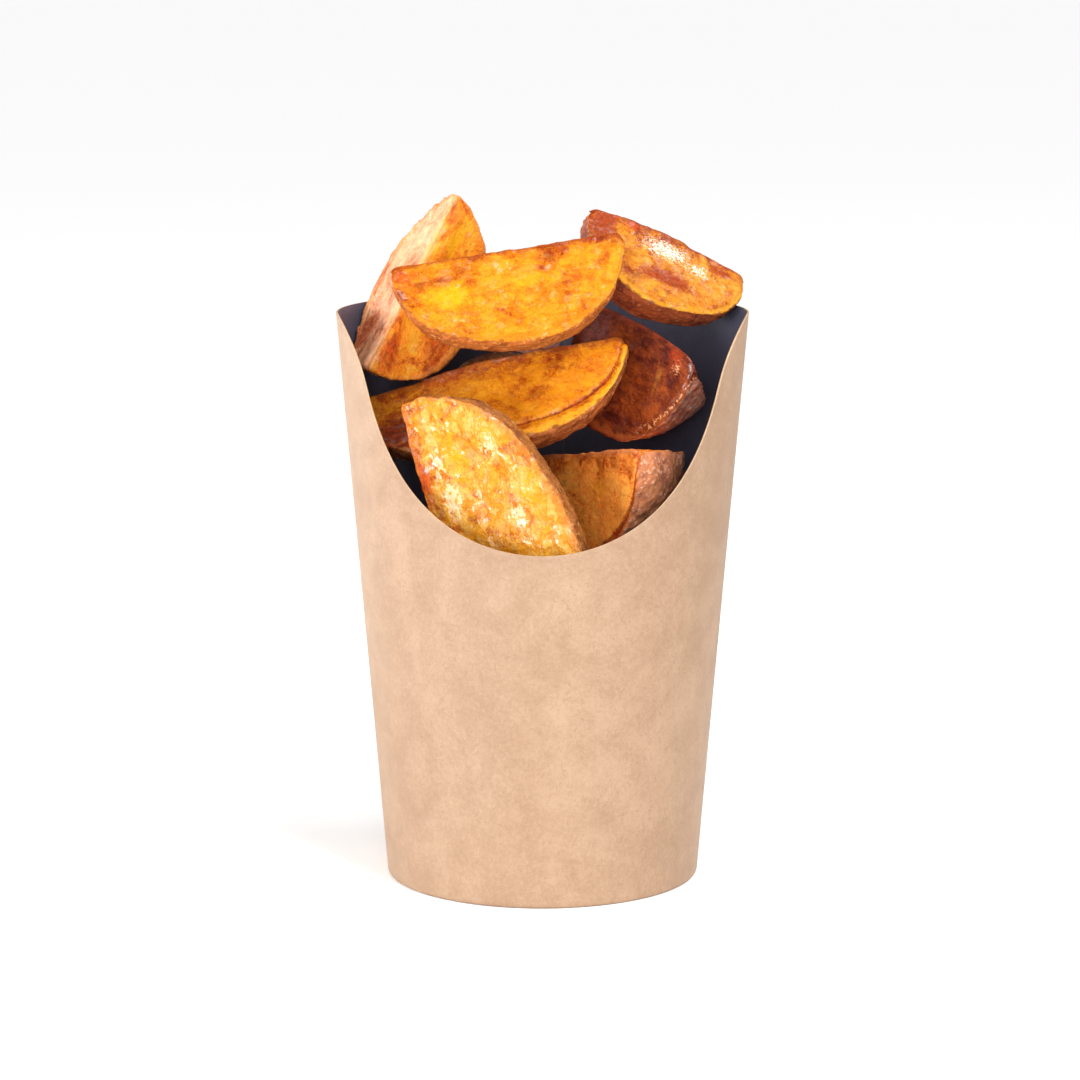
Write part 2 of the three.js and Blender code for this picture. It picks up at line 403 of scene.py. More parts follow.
# ---------------------------------------------------------------- material helpers
class Mix:
    """Mixes a material or a node group from nodes.

    An input is a value or another node's output, and each step gives back its node's output.
    """

    def __init__(self, tree):
        self.tree = tree

    def node(self, kind, inputs=None, **settings):
        made = self.tree.nodes.new(kind)
        made.location = (len(self.tree.nodes) % 8 * 220 - 1800, -(len(self.tree.nodes) // 8) * 320)
        for key, value in settings.items():
            setattr(made, key, value)
        for key, value in (inputs or {}).items():
            if isinstance(value, bpy.types.NodeSocket):
                self.tree.links.new(value, made.inputs[key])
            else:
                made.inputs[key].default_value = value
        return made

    def noise(self, vector, scale, detail=3.0, roughness=0.5, distortion=0.0):
        inputs = {"Vector": vector, "Scale": scale, "Detail": detail, "Roughness": roughness}
        inputs["Distortion"] = distortion
        return self.node("ShaderNodeTexNoise", inputs).outputs["Fac"]

    def cells(self, vector, scale):
        return self.node("ShaderNodeTexVoronoi", {"Vector": vector, "Scale": scale}).outputs["Distance"]

    def stretched(self, vector, scale, turn=(0, 0, 0)):
        inputs = {"Vector": vector, "Scale": scale, "Rotation": turn}
        return self.node("ShaderNodeMapping", inputs).outputs["Vector"]

    def maths(self, operation, a, b=0.0):
        return self.node("ShaderNodeMath", {0: a, 1: b}, operation=operation).outputs[0]

    def plus(self, a, b):
        return self.maths("ADD", a, b)

    def less(self, a, b):
        return self.maths("SUBTRACT", a, b)

    def times(self, a, b):
        return self.maths("MULTIPLY", a, b)

    def larger(self, a, b):
        return self.maths("MAXIMUM", a, b)

    def total(self, first, *parts):
        """A first value and shares of several others, added up."""
        for share, part in parts:
            first = self.plus(first, self.times(part, share))
        return first

    def step(self, value, low, high, to_low=0.0, to_high=1.0):
        inputs = {"Value": value, "From Min": low, "From Max": high, "To Min": to_low, "To Max": to_high}
        return self.node("ShaderNodeMapRange", inputs, interpolation_type="SMOOTHSTEP").outputs["Result"]

    def blend(self, factor, a, b, how="MIX"):
        inputs = {0: factor, 6: a, 7: b}
        return self.node("ShaderNodeMix", inputs, data_type="RGBA", blend_type=how).outputs[2]

    def tint(self, colour, other, value, low, high, amount=1.0):
        """Blends another colour in where a value goes from low to high."""
        return self.blend(self.step(value, low, high, 0.0, amount), colour, other)

    def shade(self, factor, colour, light):
        """Makes a colour darker or brighter by a light."""
        grey = self.node("ShaderNodeCombineColor", {0: light, 1: light, 2: light}).outputs[0]
        return self.blend(factor, colour, grey, "MULTIPLY")

    def between(self, factor, a, b):
        return self.node("ShaderNodeMix", {0: factor, 2: a, 3: b}, data_type="FLOAT").outputs[0]

    def split(self, colour):
        return self.node("ShaderNodeSeparateColor", {0: colour}).outputs

    def attribute(self, name):
        return self.node("ShaderNodeAttribute", attribute_name=name).outputs

    def group(self, tree, inputs):
        return self.node("ShaderNodeGroup", inputs_after(tree, inputs), node_tree=tree).outputs


def inputs_after(tree, inputs):
    """The inputs of a group, with plain colours given an alpha."""
    items = tree.interface.items_tree
    sockets = {item.name: item.socket_type for item in items if item.in_out == "INPUT"}
    missing = set(inputs) - set(sockets)
    if missing:
        raise RuntimeError(f"{tree.name} has no input named {sorted(missing)}")
    return {
        key: (*value, 1.0) if sockets[key] == "NodeSocketColor" and isinstance(value, tuple) else value
        for key, value in inputs.items()
    }


SOCKETS = {"v": "NodeSocketVector", "c": "NodeSocketColor", "f": "NodeSocketFloat"}


def effect(name, inputs, outputs, build):
    """A shader node group, built the first time that it is asked for.

    The inputs and outputs are (kind, labels) pairs, with a vector, colour or float for a kind.
    """
    tree = bpy.data.node_groups.get(name)
    if tree is not None:
        return tree
    tree = bpy.data.node_groups.new(name, "ShaderNodeTree")
    for in_out, sockets in (("INPUT", inputs), ("OUTPUT", outputs)):
        for kind, labels in sockets:
            for label in labels:
                tree.interface.new_socket(name=label, in_out=in_out, socket_type=SOCKETS[kind])
    mix = Mix(tree)
    mix.node("NodeGroupOutput", build(mix, tree.nodes.new("NodeGroupInput").outputs))
    return tree


def cut_face_effect():
    """The roasted cut face: pale, gold and amber clouds, browner near its edges, with flakes of crust
    whose colour is in part a painted glare, and painted shade and light on its crumbs.
    """

    def build(mix, given):
        grain = given["Grain"]
        clouds = mix.noise(grain, 0.12, 5, 0.6, 0.9)
        mottle = mix.noise(grain, 0.5, 5, 0.64, 0.6)
        fibres = mix.noise(mix.stretched(grain, (0.25, 0.85, 0.85)), 1.0, 4, 0.6, 0.3)
        grit = mix.noise(grain, 2.1, 3, 0.65)
        crumb = mix.cells(grain, 1.25)
        flaking = mix.noise(mix.stretched(grain, (0.26, 0.4, 0.4)), 1.0, 6, 0.64, 0.35)
        # a low tone is brown, then amber and gold, and a high one pale
        tone = mix.less(given["Balance"], 0.23)
        tone = mix.total(tone, (0.74, clouds), (0.34, mottle), (0.1, fibres), (0.28, grit))
        tone = mix.less(tone, mix.step(given["Ridge"], 0.2, 1.0, 0.0, given["Toast"]))
        tone = mix.less(tone, mix.step(given["Rim"], 0.55, 1.0, 0.0, 0.07))
        colour = mix.blend(1.0, given["Amber"], (0.55, 0.36, 0.3, 1), "MULTIPLY")
        for label, low, high in (("Amber", 0.33, 0.42), ("Gold", 0.41, 0.49), ("Pale", 0.5, 0.6)):
            colour = mix.tint(colour, given[label], tone, low, high)
        # the flakes: raised and wet, outlined in amber and filled with their colour, which is in part a
        # painted glare
        outline = mix.step(flaking, 0.5, 0.53, given["Flaky"], 0.0)
        outline = mix.times(mix.step(flaking, 0.44, 0.49), outline)
        colour = mix.blend(outline, colour, given["Amber"])
        flake = mix.times(mix.step(flaking, 0.495, 0.535), given["Flaky"])
        colour = mix.blend(flake, colour, given["Flake"])
        # painted shade and light that follow the crumbs: a little darker in the dips between them, where
        # the bump sinks, and brighter on their tops
        colour = mix.shade(0.7, colour, mix.step(crumb, 0.1, 0.75, 1.06, 0.9))
        height = mix.total(flake, (1.6, mottle), (-0.25, crumb), (0.5, grit))
        return {"Color": colour, "Height": height, "Loose": flake}

    amounts = ["Balance", "Flaky", "Toast", "Rim", "Ridge"]
    inputs = (("v", ["Grain"]), ("f", amounts), ("c", ["Pale", "Gold", "Amber", "Flake"]))
    return effect("Roasted cut face", inputs, (("c", ["Color"]), ("f", ["Height", "Loose"])), build)


def skin_effect():
    """The roasted skin: two browns in blotches, fine wrinkles along the wedge whose valleys are darkened
    with painted shade, and pale flecks on its raised lumps that are painted highlights.
    """

    def build(mix, given):
        grain = given["Grain"]
        blotch = mix.noise(grain, 0.2, 4, 0.6, 0.6)
        fleck = mix.noise(grain, 0.9, 5, 0.66, 0.4)
        wrinkle = mix.noise(mix.stretched(grain, (0.35, 1.1, 1.1)), 1.0, 5, 0.64, 0.9)
        colour = mix.tint(given["Dark"], given["Skin"], blotch, 0.38, 0.56)
        # painted shade in the valleys of the wrinkles, then painted highlights: pale flecks on the raised
        # lumps
        colour = mix.tint(colour, given["Dark"], wrinkle, 0.5, 0.36, 0.6)
        colour = mix.tint(colour, given["Pale"], fleck, 0.53, 0.64, 0.85)
        height = mix.total(0.0, (0.9, fleck), (0.6, wrinkle), (-0.6, mix.cells(grain, 0.7)))
        return {"Color": colour, "Height": height}

    inputs = (("v", ["Grain"]), ("c", ["Skin", "Dark", "Pale"]))
    return effect("Roasted skin", inputs, (("c", ["Color"]), ("f", ["Height"])), build)


def crisp_edge_effect():
    """The browned line along a wedge's ridge, and the lighter rim with a dark line beside the skin."""

    def build(mix, given):
        ragged = mix.noise(given["Grain"], 0.45, 5, 0.66, 0.5)
        shift = mix.times(mix.less(ragged, 0.5), 0.5)
        rim = mix.plus(given["Rim"], shift)
        ridge = mix.plus(given["Ridge"], shift)
        colour = mix.tint(given["Color"], given["Rim Color"], rim, 0.72, 0.86, 0.6)
        colour = mix.tint(colour, given["Edge Color"], rim, 0.9, 1.02, 0.8)
        return {"Color": mix.tint(colour, given["Ridge Color"], ridge, 0.83, 1.0, 0.8)}

    colours = ["Color", "Ridge Color", "Rim Color", "Edge Color"]
    inputs = (("v", ["Grain"]), ("f", ["Rim", "Ridge"]), ("c", colours))
    return effect("Crisp edge", inputs, (("c", ["Color"]),), build)


def marks_effect():
    """Burnt, red, pale and bright places, broken up so that they grow out of the crust. The pale places
    are a painted glare, where the shader also lays a coat of oil.
    """

    def build(mix, given):
        grain = given["Grain"]
        spread = mix.less(mix.noise(grain, 0.62, 5, 0.66, 0.4), 0.5)
        flaky = mix.noise(mix.stretched(grain, (0.5, 0.85, 0.85)), given["Speckle"], 4, 0.6, 0.8)
        burn = mix.step(mix.plus(given["Burn"], spread), 0.25, 0.7, 0.0, 0.85)
        hot = mix.larger(given["Red"], mix.times(given["Burn"], 0.9))
        red = mix.step(mix.plus(hot, spread), 0.25, 0.75, 0.0, 0.75)
        gold = mix.plus(given["Gold"], spread)
        colour = mix.tint(given["Color"], given["Gold Color"], gold, 0.2, 0.8, 0.7)
        colour = mix.blend(red, colour, given["Red Color"])
        colour = mix.blend(burn, colour, given["Burn Color"])
        colour = mix.shade(mix.larger(burn, red), colour, mix.step(flaky, 0.36, 0.62, 0.6, 1.35))
        # the pale marks: a painted glare, broken into flecks, which also drives the coat of oil
        oily_glare = mix.plus(given["Pale"], mix.times(mix.less(flaky, 0.5), 2.4))
        oily_glare = mix.times(mix.step(oily_glare, 0.42, 0.66), mix.step(given["Pale"], 0.05, 0.6))
        colour = mix.blend(mix.times(oily_glare, 0.8), colour, given["Pale Color"])
        return {"Color": colour, "Oil": oily_glare}

    colours = ["Color", "Burn Color", "Red Color", "Pale Color", "Gold Color"]
    inputs = (("v", ["Grain"]), ("f", ["Speckle", "Burn", "Red", "Pale", "Gold"]), ("c", colours))
    return effect("Roasting marks", inputs, (("c", ["Color"]), ("f", ["Oil"])), build)


def paper_effect():
    """Paper: soft clouds and bands, a felt of fine fibres, and a few longer dark ones."""

    def build(mix, given):
        place = given["Vector"]
        bands = mix.noise(mix.stretched(place, (34.0, 34.0, 12.0)), 1.0, 2, 0.5, 0.4)
        clouds = mix.noise(place, 120.0, 6, 0.62, 0.4)
        felt = mix.noise(place, 1000.0, 5, 0.7, 0.6)
        upright = mix.noise(mix.stretched(place, (1700.0, 1700.0, 520.0)), 1.0, 3, 0.6, 2.2)
        lying = mix.stretched(place, (420.0, 420.0, 1500.0), (0.5, 0.0, 0.4))
        lying = mix.noise(lying, 1.0, 3, 0.6, 2.6)
        strands = mix.plus(upright, lying)
        tone = mix.total(0.0, (0.2, bands), (0.33, clouds), (0.34, felt), (0.09, strands))
        colour = mix.tint(given["Dark"], given["Light"], tone, 0.4, 0.66)
        broken = mix.step(lying, 0.46, 0.54, 0.0, 0.75)
        for scale, turn in ((230.0, 0.0), (310.0, 1.3)):
            bent = mix.stretched(place, (scale, scale, scale * 0.7), (turn, turn, 0.0))
            curl = mix.maths("ABSOLUTE", mix.less(mix.noise(bent, 1.0, 2, 0.5, 1.2), 0.5))
            fibre = mix.times(mix.step(curl, 0.004, 0.014, 1.0, 0.0), broken)
            colour = mix.blend(fibre, colour, given["Dark"])
        colour = mix.tint(colour, given["Dark"], lying, 0.33, 0.29, 0.45)
        return {"Color": colour, "Felt": felt, "Height": mix.plus(felt, mix.times(strands, 0.5))}

    inputs = (("v", ["Vector"]), ("c", ["Light", "Dark"]))
    return effect("Paper fibres", inputs, (("c", ["Color"]), ("f", ["Felt", "Height"])), build)


PAPER_BUMP = 0.08 * MM
CRUST_BUMP = 0.3 * MM
DRY_ROUGHNESS = 0.52
WET_ROUGHNESS = 0.34
DRY_COAT = 0.03
POTATO = {
    "Coat Roughness": 0.14,
    "Subsurface Weight": 0.12,
    "Subsurface Radius": (1.0, 0.35, 0.08),
    "Subsurface Scale": 1.5 * MM,
}


def new_material(name):
    """An empty material, with its mix and its shader."""
    material = bpy.data.materials.new(name)
    material.use_nodes = True
    return material, Mix(material.node_tree), material.node_tree.nodes["Principled BSDF"]


def finish_shader(mix, shader, colour, roughness, height, strength, distance):
    """Links the colour, roughness and bump of a material to its shader."""
    bump = mix.node("ShaderNodeBump", {"Height": height, "Strength": strength, "Distance": distance})
    mix.tree.links.new(colour, shader.inputs["Base Color"])
    mix.tree.links.new(roughness, shader.inputs["Roughness"])
    mix.tree.links.new(bump.outputs["Normal"], shader.inputs["Normal"])


def paper_material(name, light, dark, rough, gloss):
    """A board surface of two colours, with its roughness and gloss."""
    material, mix, shader = new_material(name)
    place = mix.node("ShaderNodeTexCoord").outputs["Object"]
    paper = mix.group(paper_effect(), {"Vector": place, "Light": tuple(light), "Dark": tuple(dark)})
    roughness = mix.step(paper["Felt"], 0.3, 0.7, rough - 0.06, rough + 0.06)
    finish_shader(mix, shader, paper["Color"], roughness, paper["Height"], 0.35, PAPER_BUMP)
    shader.inputs["Specular IOR Level"].default_value = gloss
    return material


def coated_material(name, coating):
    """The black side of the board."""
    lighter = tuple(min(1.0, share * 1.35 + 0.002) for share in coating)
    return paper_material(name, lighter, coating, 0.5, 0.35)


def mark_inputs(look):
    """The colours of the marks: a wedge's own where it has them, and the common ones elsewhere."""
    common = bpy.context.scene.roast_colours
    inputs = {}
    for label, key in (("Burn", "burn"), ("Red", "red"), ("Pale", "glare"), ("Gold", "gold")):
        inputs[label + " Color"] = paint(look[key]) if key in look else tuple(getattr(common, key))
    return inputs


def roast_material(name, look):
    """The roasted finish of one wedge, which follows its zones, its marks and its grain."""
    material, mix, shader = new_material(name)
    zones = mix.attribute("zones")
    cut, second, rim = mix.split(zones["Color"])
    marks = mix.attribute("marks")
    burn, red, pale = mix.split(marks["Color"])
    grain = {"Grain": mix.attribute("grain")["Vector"]}
    edges = {"Rim": rim, "Ridge": zones["Alpha"], **grain}

    def cut_face(codes, balance=0.0, flake=None):
        tones = dict(zip(("Pale", "Gold", "Amber"), paints(codes)))
        tones["Flake"] = paint(flake) if flake else tones["Pale"]
        amounts = {"Balance": balance, "Flaky": look.get("flaky", 0.25), "Toast": look.get("toast", 0.1)}
        return mix.group(cut_face_effect(), {**tones, **amounts, **edges})

    face = cut_face(look["face"], look.get("balance", 0.0), look.get("flake"))
    colour = face["Color"]
    if "second_face" in look:
        other = cut_face(look["second_face"])
        ragged = mix.times(mix.noise(grain["Grain"], 0.3, 5, 0.62, 0.5), 2.2)
        turn = mix.step(mix.plus(second, ragged), 1.4, 1.75)
        colour = mix.blend(turn, colour, other["Color"])
    lines = dict(zip(("Ridge Color", "Rim Color", "Edge Color"), paints(look["lines"])))
    colour = mix.group(crisp_edge_effect(), {"Color": colour, **lines, **edges})["Color"]
    amounts = {"Burn": burn, "Red": red, "Pale": pale, "Gold": marks["Alpha"]}
    amounts["Speckle"] = look.get("speckle", 1.0)
    marked = mix.group(marks_effect(), {"Color": colour, **amounts, **mark_inputs(look), **grain})
    skins = dict(zip(("Skin", "Dark", "Pale"), paints(look["skin"])))
    # painted light: towards the +X end the skin turns to lighter colours, where the end catches light
    if "far_skin_painted_light" in look:
        far = mix.attribute("far_end")["Fac"]
        for label, tone in zip(skins, paints(look["far_skin_painted_light"])):
            skins[label] = mix.blend(far, (*skins[label], 1), (*tone, 1))
    skin = mix.group(skin_effect(), {**skins, **grain})
    colour = mix.blend(cut, skin["Color"], marked["Color"])
    height = mix.between(cut, skin["Height"], face["Height"])
    oiled = mix.step(mix.noise(grain["Grain"], 0.3, 3, 0.6, 0.5), 0.48, 0.62)
    wet = mix.larger(oiled, mix.larger(marked["Oil"], face["Loose"]))
    roughness = mix.step(wet, 0.0, 1.0, DRY_ROUGHNESS, WET_ROUGHNESS)
    finish_shader(mix, shader, colour, roughness, height, 0.8, look.get("bump", 1.0) * CRUST_BUMP)
    coat = mix.step(wet, 0.0, 1.0, DRY_COAT, look.get("oil", 0.6))
    mix.tree.links.new(coat, shader.inputs["Coat Weight"])
    plain = {**POTATO, "Specular IOR Level": look.get("gloss", 0.18)}
    for label, amount in plain.items():
        shader.inputs[label].default_value = amount
    return material


# ---------------------------------------------------------------- the wedges
EDGE_BAND = 10 * MM  # how far the zones beside the skin and along the ridge reach
FACE_BAND = 1.6 * MM  # how deep the zone of a cut face reaches
CREST_BAND = 2.5 * MM  # how wide the lowered crest of a ridge is
# FAR_BAND is where the far end's skin with its painted light begins
FAR_BAND = (1 * MM, 9 * MM)  # along the ridge, where the skin turns into that of the far end
GROOVE_BAND = 9 * MM  # how slowly a groove begins
# The textures that roughen a wedge: its height in the settings, its size in millimetres, its depth, how
# far it is stretched along the ridge, and the zone that it is kept to.
TEXTURES = (
    ("lumps", 14, 1, 1.6, ""),
    ("puckers", 4.5, 2, 1.8, ""),
    ("crust", 1.7, 2, 1.5, "flesh"),
    ("wrinkles", 1.5, 2, 2.4, "skin"),
    ("blisters", 2.6, 1, 1.3, "rim"),
    ("notches", 4.2, 2, 1.0, "ridge"),
)


def skin_reach(shape, along, make):
    """How far the skin lies from the ridge, at shares of the half length along it."""
    ends = np.where(along < 0, make.bluntness, shape.get("end", make.bluntness))
    knobble = 1 + make.knobble * np.sin(5 * along + shape["radius"])
    return shape["radius"] * MM * np.clip(1 - along**2, 0, 1) ** ends * knobble


def slice_potato(name, shape, make, grid):
    """Cuts one wedge out of a potato that lies along X, with two long cuts that meet on its axis."""
    bpy.ops.object.select_all(action="DESELECT")
    bpy.ops.mesh.primitive_uv_sphere_add(
        segments=120, ring_count=90, radius=1, rotation=(0, math.pi / 2, 0)
    )
    wedge = name_new(name)
    settle(wedge)
    ball = points_of(wedge)
    along = np.clip(ball[:, 0], -1, 1)
    around = np.hypot(ball[:, 1], ball[:, 2])
    reach = skin_reach(shape, along, make) / np.maximum(around, 1e-9)
    reach[around < 1e-6] = 0
    half = shape["length"] * MM / 2
    move_points(wedge, np.column_stack([along * half, ball[:, 1] * reach, ball[:, 2] * reach]))
    sector = math.radians(shape["open"])
    bpy.ops.object.mode_set(mode="EDIT")
    bpy.ops.mesh.select_all(action="SELECT")
    bpy.ops.mesh.bisect(
        plane_co=(0, 0, 0), plane_no=(0, 0, 1), use_fill=True, clear_inner=True, threshold=1e-7
    )
    bpy.ops.mesh.select_all(action="SELECT")
    bpy.ops.mesh.bisect(
        plane_co=(0, 0, 0), plane_no=(0, -math.sin(sector), math.cos(sector)), use_fill=True,
        clear_outer=True, threshold=1e-7,
    )
    bpy.ops.object.mode_set(mode="OBJECT")
    modify(wedge, "REMESH", mode="VOXEL", voxel_size=grid, adaptivity=0)
    modify(wedge, "SMOOTH", factor=0.5, iterations=9)
    return wedge


def read_zones(wedge, shape, look, make):
    """Where each point of the wedge lies: its zones, and its place on the cut faces, in metres."""
    x, y, z = points_of(wedge).T
    half = shape["length"] * MM / 2
    along = np.clip(x / half, -1, 1)
    reach = np.maximum(skin_reach(shape, along, make), 0.4 * MM)
    sector = math.radians(shape["open"])
    from_ridge = np.hypot(y, z)
    under_first = z
    under_second = y * math.sin(sector) - z * math.cos(sector)
    under_skin = reach - from_ridge
    cut = smoothstep(under_skin - np.minimum(under_first, under_second), -0.15 * MM, 0.2 * MM)
    second = smoothstep(under_first - under_second, -3 * MM, 3 * MM)
    rim = np.clip(1 - under_skin / EDGE_BAND, 0, 1)
    ridge = np.clip(1 - from_ridge / EDGE_BAND, 0, 1)
    start = look["groove_start"] * MM if "groove_start" in look else -half
    from_groove = (under_skin - look.get("groove_in", 2.6) * MM) / (look.get("groove_wide", 0.55) * MM)
    return {
        "groove": np.exp(-(from_groove**2)) * smoothstep(x, start, start + GROOVE_BAND),
        "zones": np.column_stack([cut, second, rim, ridge]),
        "along": along,
        "across": from_ridge,
        "share": np.clip(from_ridge / reach, 0, 1),
        "reach": reach,
        "first": smoothstep(under_first, FACE_BAND, 0.0),
        "second": smoothstep(under_second, FACE_BAND, 0.0),
    }


def store(piece, name, kind, values):
    """Writes values to a new attribute of the piece's points."""
    attribute = piece.data.attributes.new(name, kind, "POINT")
    field = {"FLOAT_VECTOR": "vector", "FLOAT_COLOR": "color"}.get(kind, "value")
    attribute.data.foreach_set(field, values.astype(np.float32).ravel())


def marks_of(look, place, x):
    """The strength of each kind of mark at each point of the two cut faces."""
    strengths = np.zeros((len(x), len(MARKS)))

    def add(kind, strength):
        column = MARKS.index(kind)
        strengths[:, column] = np.maximum(strengths[:, column], strength)

    for face, marks in (("first", look.get("marks", {})), ("second", look.get("second_marks", {}))):
        for kind, rows in marks.items():
            for along, across, half_length, half_width, strength in rows:
                away = ((x - along * MM) / (half_length * MM)) ** 2
                away += ((place["across"] - across * MM) / (half_width * MM)) ** 2
                add(kind, strength * np.exp(-away) * place[face])
    add(look.get("groove_mark", "burn"), look.get("groove_strength", 0.0) * place["groove"] * place["first"])
    return strengths


def rough_up(wedge, shape, look, make, place, number):
    """Sinks the cut faces, arches the ridge and raises lumps, crust and wrinkles."""
    points = points_of(wedge)
    sector = math.radians(shape["open"])
    sink = make.sunk * place["reach"] * np.sin(math.pi * place["share"])
    sink += look.get("groove_deep", 0.25) * MM * place["groove"]
    points[:, 2] += place["first"] * sink
    points[:, 1] += place["second"] * math.sin(sector) * sink
    points[:, 2] -= place["second"] * math.cos(sector) * sink
    points[:, 1] += shape.get("bow", 0) * MM * (1 - place["along"] ** 2)
    tip = look["tip"] * MM if "tip" in look else make.tip
    from_tip = np.clip(shape["length"] * MM / 2 * (1 - np.abs(place["along"])), 0, tip)
    dip = (tip - np.sqrt(tip**2 - (tip - from_tip) ** 2)) * np.exp(-place["across"] / tip)
    dip += look.get("soft_ridge", 0.3) * MM * np.exp(-((place["across"] / CREST_BAND) ** 2))
    points += dip[:, None] * np.array([0, math.cos(sector / 2), math.sin(sector / 2)])
    move_points(wedge, points)
    cut, second, rim, ridge = place["zones"].T
    zones = {"flesh": cut, "skin": 1 - cut, "rim": rim**4, "ridge": ridge**4 * (1 - place["along"] ** 6)}
    for zone, share in zones.items():
        group = wedge.vertex_groups.new(name=zone)
        for index in np.nonzero(share > 0.01)[0].tolist():
            group.add([index], float(share[index]), "REPLACE")
    for name, size, depth, stretch, zone in TEXTURES:
        height = getattr(make, name)
        if name in ("puckers", "crust"):
            height *= look.get("wrinkle", 1)
        raise_texture(wedge, name, size, depth, height, stretch, number, zone)


def raise_texture(wedge, name, size, depth, height, stretch, number, zone):
    """Displaces a zone of the wedge along its normals by a cloud texture, stretched along its ridge."""
    texture = bpy.data.textures.get(name) or bpy.data.textures.new(name, "CLOUDS")
    texture.noise_scale = size
    texture.noise_depth = depth
    texture.noise_basis = "IMPROVED_PERLIN"
    bpy.ops.object.empty_add(location=(0.1 * number, 0, 0.03 * number))
    ruler = bpy.context.object
    ruler.scale = (stretch * MM, MM, MM)
    bpy.context.view_layer.update()
    modify(
        wedge, "DISPLACE", texture=texture, texture_coords="OBJECT", texture_coords_object=ruler,
        strength=height, mid_level=0.5, vertex_group=zone,
    )
    bpy.data.objects.remove(ruler)


def add_wedge(name, shape, look, grid, number):
    """Cuts, roasts and places one wedge."""
    make = bpy.context.scene.wedge_make
    wedge = slice_potato(name + "_roasted", shape, make, grid)
    place = read_zones(wedge, shape, look, make)
    points = points_of(wedge)
    store(wedge, "grain", "FLOAT_VECTOR", points / MM + np.array([37.0 * number, 11.0 * number, 0]))
    store(wedge, "zones", "FLOAT_COLOR", place["zones"])
    store(wedge, "marks", "FLOAT_COLOR", marks_of(look, place, points[:, 0]))
    # the band of the far end's painted light
    if "far_skin_painted_light" in look:
        store(wedge, "far_end", "FLOAT", smoothstep(points[:, 0], *FAR_BAND))
    rough_up(wedge, shape, look, make, place, number)
    turns = (-90 - shape["lean"], -shape["tilt"], shape["slant"])
    wedge.rotation_euler = Euler([math.radians(turn) for turn in turns], "XYZ")
    wedge.location = Vector(shape["at"]) * MM
    settle(wedge)
    wedge.vertex_groups.clear()
    bpy.ops.object.shade_smooth()
    wedge.data.materials.clear()
    wedge.data.materials.append(roast_material(name, look))
    keep(wedge, [name])


# ---------------------------------------------------------------- the cup
AROUND = 288  # strips round the sheet
WALL_ROWS = 70
FOLD_ROWS = 8
HEM_ROWS = 4


EDGE_ROUND = 0.05 * MM  # the board's rounded cut edge
LAYER_CLEAR = 0.01 * MM  # between the two glued laps
LAP_SLOPE = 0.16  # radians over which the sheet rises to its lap
BASE_RINGS = (6 * MM, 14 * MM)  # the widths of the base's outer rings of faces
SKIRT_BEND = 0.9 * MM  # how round the base bends into its skirt
SMOOTH_ANGLE = math.radians(35)


def thicken(piece, cup, *materials):
    """Gives a sheet the board's thickness and its materials: face, other side and cut edge."""
    for material in materials:
        piece.data.materials.append(material)
    modify(
        piece, "SOLIDIFY", thickness=cup.board, offset=-1, use_even_offset=True, material_offset=1,
        material_offset_rim=len(materials) - 1,
    )


def smooth_flats(piece):
    """Shades a board piece smooth, all but its sharp edges."""
    only(piece)
    bpy.ops.object.shade_smooth_by_angle(angle=SMOOTH_ANGLE)


def rim_height(turn, cup):
    """The height of the sheet's upper edge, at turns from the middle of the front."""
    along = np.abs(turn) * cup.mouth_width / 2
    scoop_centre = cup.scoop_low + cup.scoop_radius
    fillet_centre = cup.height - cup.ear_fillet
    reach = cup.scoop_radius + cup.ear_fillet
    fillet_along = math.sqrt(reach**2 - (scoop_centre - fillet_centre) ** 2)
    scoop = scoop_centre - np.sqrt(np.maximum(cup.scoop_radius**2 - along**2, 0))
    fillet = fillet_centre + np.sqrt(np.maximum(cup.ear_fillet**2 - (fillet_along - along) ** 2, 0))
    height = np.where(along > fillet_along * cup.scoop_radius / reach, fillet, scoop)
    return np.where(along >= fillet_along, cup.height, height)


def wall_point(turn, z, inset, cup):
    """A point of the board at a turn from the front and a height, inset from the cone's outer face."""
    up = z / cup.height
    across = cup.foot_radius + (cup.mouth_width / 2 - cup.foot_radius) * up - inset
    deep = cup.foot_radius + (cup.mouth_depth / 2 - cup.foot_radius) * up - inset
    return np.column_stack([across * np.sin(turn), -deep * np.cos(turn), z])


def roll_sheet(sheet, cup, overlap):
    """Rolls the flat sheet to a cone: its scoop, its lapped ends, and its foot folded in and up."""
    flat = points_of(sheet)
    rows = WALL_ROWS + FOLD_ROWS + HEM_ROWS
    row = np.round((flat[:, 1] + 0.5) * rows)
    turn = flat[:, 0] * 2 * (math.pi + overlap)
    lifted = (cup.board / 2 + LAYER_CLEAR) * np.sign(turn)
    lifted *= smoothstep(np.abs(turn), math.pi - overlap - LAP_SLOPE, math.pi - overlap)
    hem_inset = 3 * cup.board + 2 * cup.fit + lifted - cup.board / 3
    fold = (hem_inset + lifted) / 2
    hem_top = cup.base_recess - cup.fit
    in_wall = (row - HEM_ROWS - FOLD_ROWS) / WALL_ROWS
    in_fold = np.clip((row - HEM_ROWS) / FOLD_ROWS, 0, 1) * math.pi
    in_hem = np.clip(row / HEM_ROWS, 0, 1)
    inset = (hem_inset - lifted) / 2 + fold * np.cos(in_fold)
    z = fold - fold * np.sin(in_fold)
    z = np.where(row < HEM_ROWS, hem_top + (fold - hem_top) * in_hem, z)
    z = np.where(in_wall > 0, fold + (rim_height(turn, cup) - fold) * in_wall, z)
    move_points(sheet, wall_point(turn, z, inset, cup))


